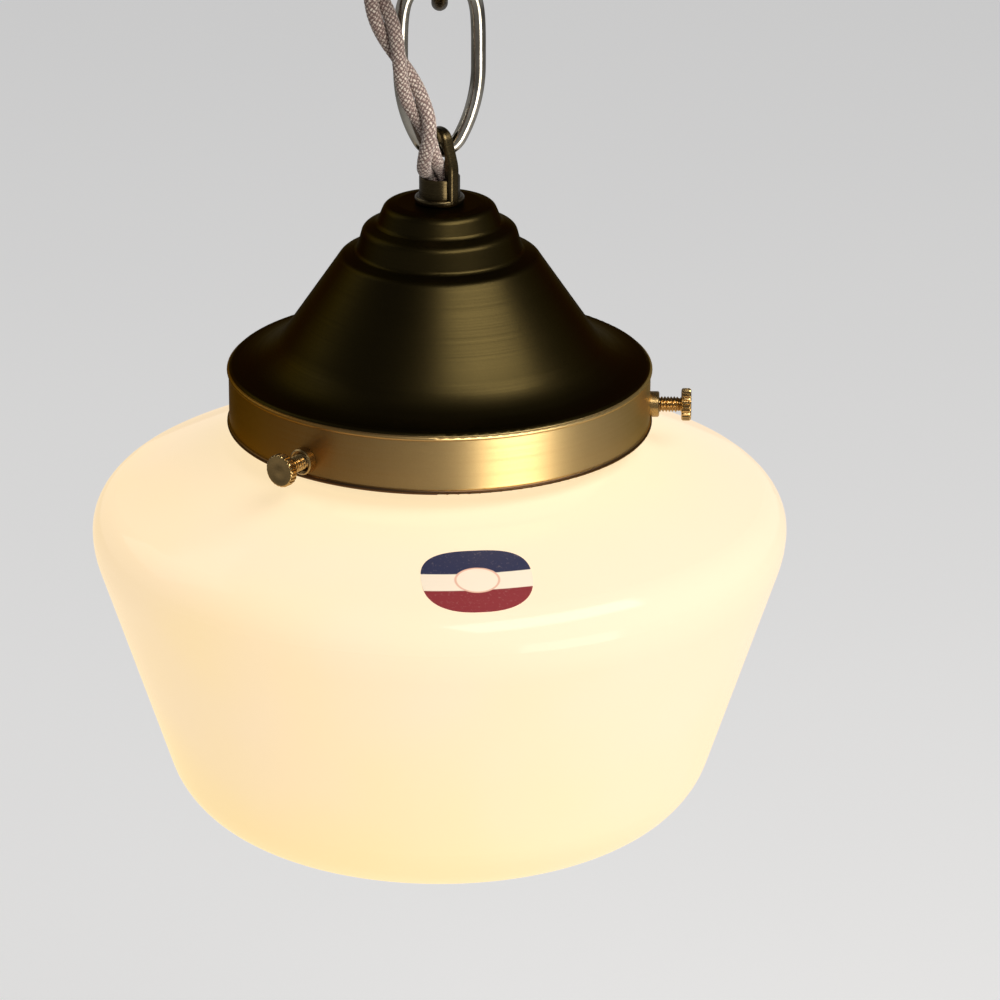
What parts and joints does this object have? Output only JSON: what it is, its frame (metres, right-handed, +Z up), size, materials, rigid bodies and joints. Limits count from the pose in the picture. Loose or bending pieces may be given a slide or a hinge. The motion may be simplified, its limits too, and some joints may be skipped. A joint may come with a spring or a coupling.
{
  "type": "pendant light",
  "caption": "Schoolhouse pendant: stepped opal glass shade held by thumb screws in a spun brass cap, hung by a link from a round ceiling canopy, with twisted cloth cord.",
  "frame": {"origin": "on the ceiling, at the centre of the mounting strap and of its two slots", "axes": "+Z up into the ceiling, +X along the mounting strap, the lamp hangs down along -Z"},
  "size_m": [0.178, 0.178, 0.2716],
  "materials": {
    "brass": "antiqued brass, satin, darkened in its hollows",
    "bright_brass": "worn brass, ridged",
    "link_steel": "polished nickel-plated wire",
    "zinc_steel": "zinc-plated steel",
    "opal_glass": "opal glass, satin sheen, lit from inside",
    "clear_glass": "clear glass",
    "phenolic": "moulded black phenolic",
    "bushing_plastic": "moulded black nylon",
    "connector_plastic": "moulded polypropylene",
    "nylon": "natural nylon",
    "cord_cloth": "braided cotton, mauve grey",
    "lead_plastic": "PVC insulation",
    "bulb_metal": "rolled aluminium",
    "solder": "glass and solder",
    "filament_wire": "filament"
  },
  "bodies": {
    "ceiling_mount": {"canopy": "brass", "mounting_strap": "zinc_steel", "canopy_nipple": "zinc_steel", "strap_nut": "zinc_steel", "earth_screw": "zinc_steel", "canopy_loop": "brass", "collar_nut": "brass", "cord_bushing": "bushing_plastic", "wire_connectors": "connector_plastic", "canopy_leads": "lead_plastic", "cord_upper": "cord_cloth"},
    "chain_link": {"chain_link": "link_steel"},
    "fixture": {"hang_loop": "brass", "fitter_cap": "brass", "cap_washer": "zinc_steel", "cap_nut": "zinc_steel", "screw_bosses": "bright_brass", "glass_shade": "opal_glass", "holder_cap": "bright_brass", "lampholder_body": "phenolic", "screw_shell": "bright_brass", "centre_contact": "bright_brass", "terminal_screws": "bright_brass", "holder_leads": "lead_plastic", "cord_lower": "cord_cloth"},
    "bulb": {"bulb_glass": "clear_glass", "bulb_base": "bulb_metal", "bulb_contact": "solder", "bulb_stem": "clear_glass", "bulb_filament": "filament_wire"},
    "screw_tip_1": {"swivel_tip_1": "nylon"},
    "thumb_screw_1": {"thumb_screw_1": "bright_brass"},
    "screw_tip_2": {"swivel_tip_2": "nylon"},
    "thumb_screw_2": {"thumb_screw_2": "bright_brass"},
    "screw_tip_3": {"swivel_tip_3": "nylon"},
    "thumb_screw_3": {"thumb_screw_3": "bright_brass"}
  },
  "joints": [
    {"name": "link_swing", "type": "hinge", "parent": "ceiling_mount", "child": "chain_link", "pos_m": [0, 0, -0.05385], "axis": [0, 1, 0], "range_deg": [-20, 20], "deforming": ["cord_upper"]},
    {"name": "fixture_swing", "type": "hinge", "parent": "chain_link", "child": "fixture", "pos_m": [0, 0, -0.09225], "axis": [0.9659, 0.2588, 0], "range_deg": [-20, 20], "deforming": ["cord_lower"]},
    {"name": "bulb_withdraw", "type": "slide", "parent": "fixture", "child": "bulb", "axis": [0, 0, -1], "range_m": [0, 0.024]},
    {"name": "tip_slide_1", "type": "slide", "parent": "fixture", "child": "screw_tip_1", "axis": [0.9994, -0.0349, 0], "range_m": [0, 0.004]},
    {"name": "screw_turn_1", "type": "hinge", "parent": "screw_tip_1", "child": "thumb_screw_1", "pos_m": [0.04997, -0.00175, -0.159], "axis": [0.9994, -0.0349, 0], "range_deg": [0, 1814.6]},
    {"name": "tip_slide_2", "type": "slide", "parent": "fixture", "child": "screw_tip_2", "axis": [-0.6157, -0.788, 0], "range_m": [0, 0.004]},
    {"name": "screw_turn_2", "type": "hinge", "parent": "screw_tip_2", "child": "thumb_screw_2", "pos_m": [-0.03078, -0.0394, -0.159], "axis": [-0.6157, -0.788, 0], "range_deg": [0, 1814.6]},
    {"name": "tip_slide_3", "type": "slide", "parent": "fixture", "child": "screw_tip_3", "axis": [-0.4226, 0.9063, 0], "range_m": [0, 0.004]},
    {"name": "screw_turn_3", "type": "hinge", "parent": "screw_tip_3", "child": "thumb_screw_3", "pos_m": [-0.02113, 0.04532, -0.159], "axis": [-0.4226, 0.9063, 0], "range_deg": [0, 1814.6]}
  ],
  "couplings": [
    {"joint": "screw_turn_1", "follows": "tip_slide_1", "rad_per_m": 7913.3},
    {"joint": "screw_turn_2", "follows": "tip_slide_2", "rad_per_m": 7913.3},
    {"joint": "screw_turn_3", "follows": "tip_slide_3", "rad_per_m": 7913.3}
  ]
}
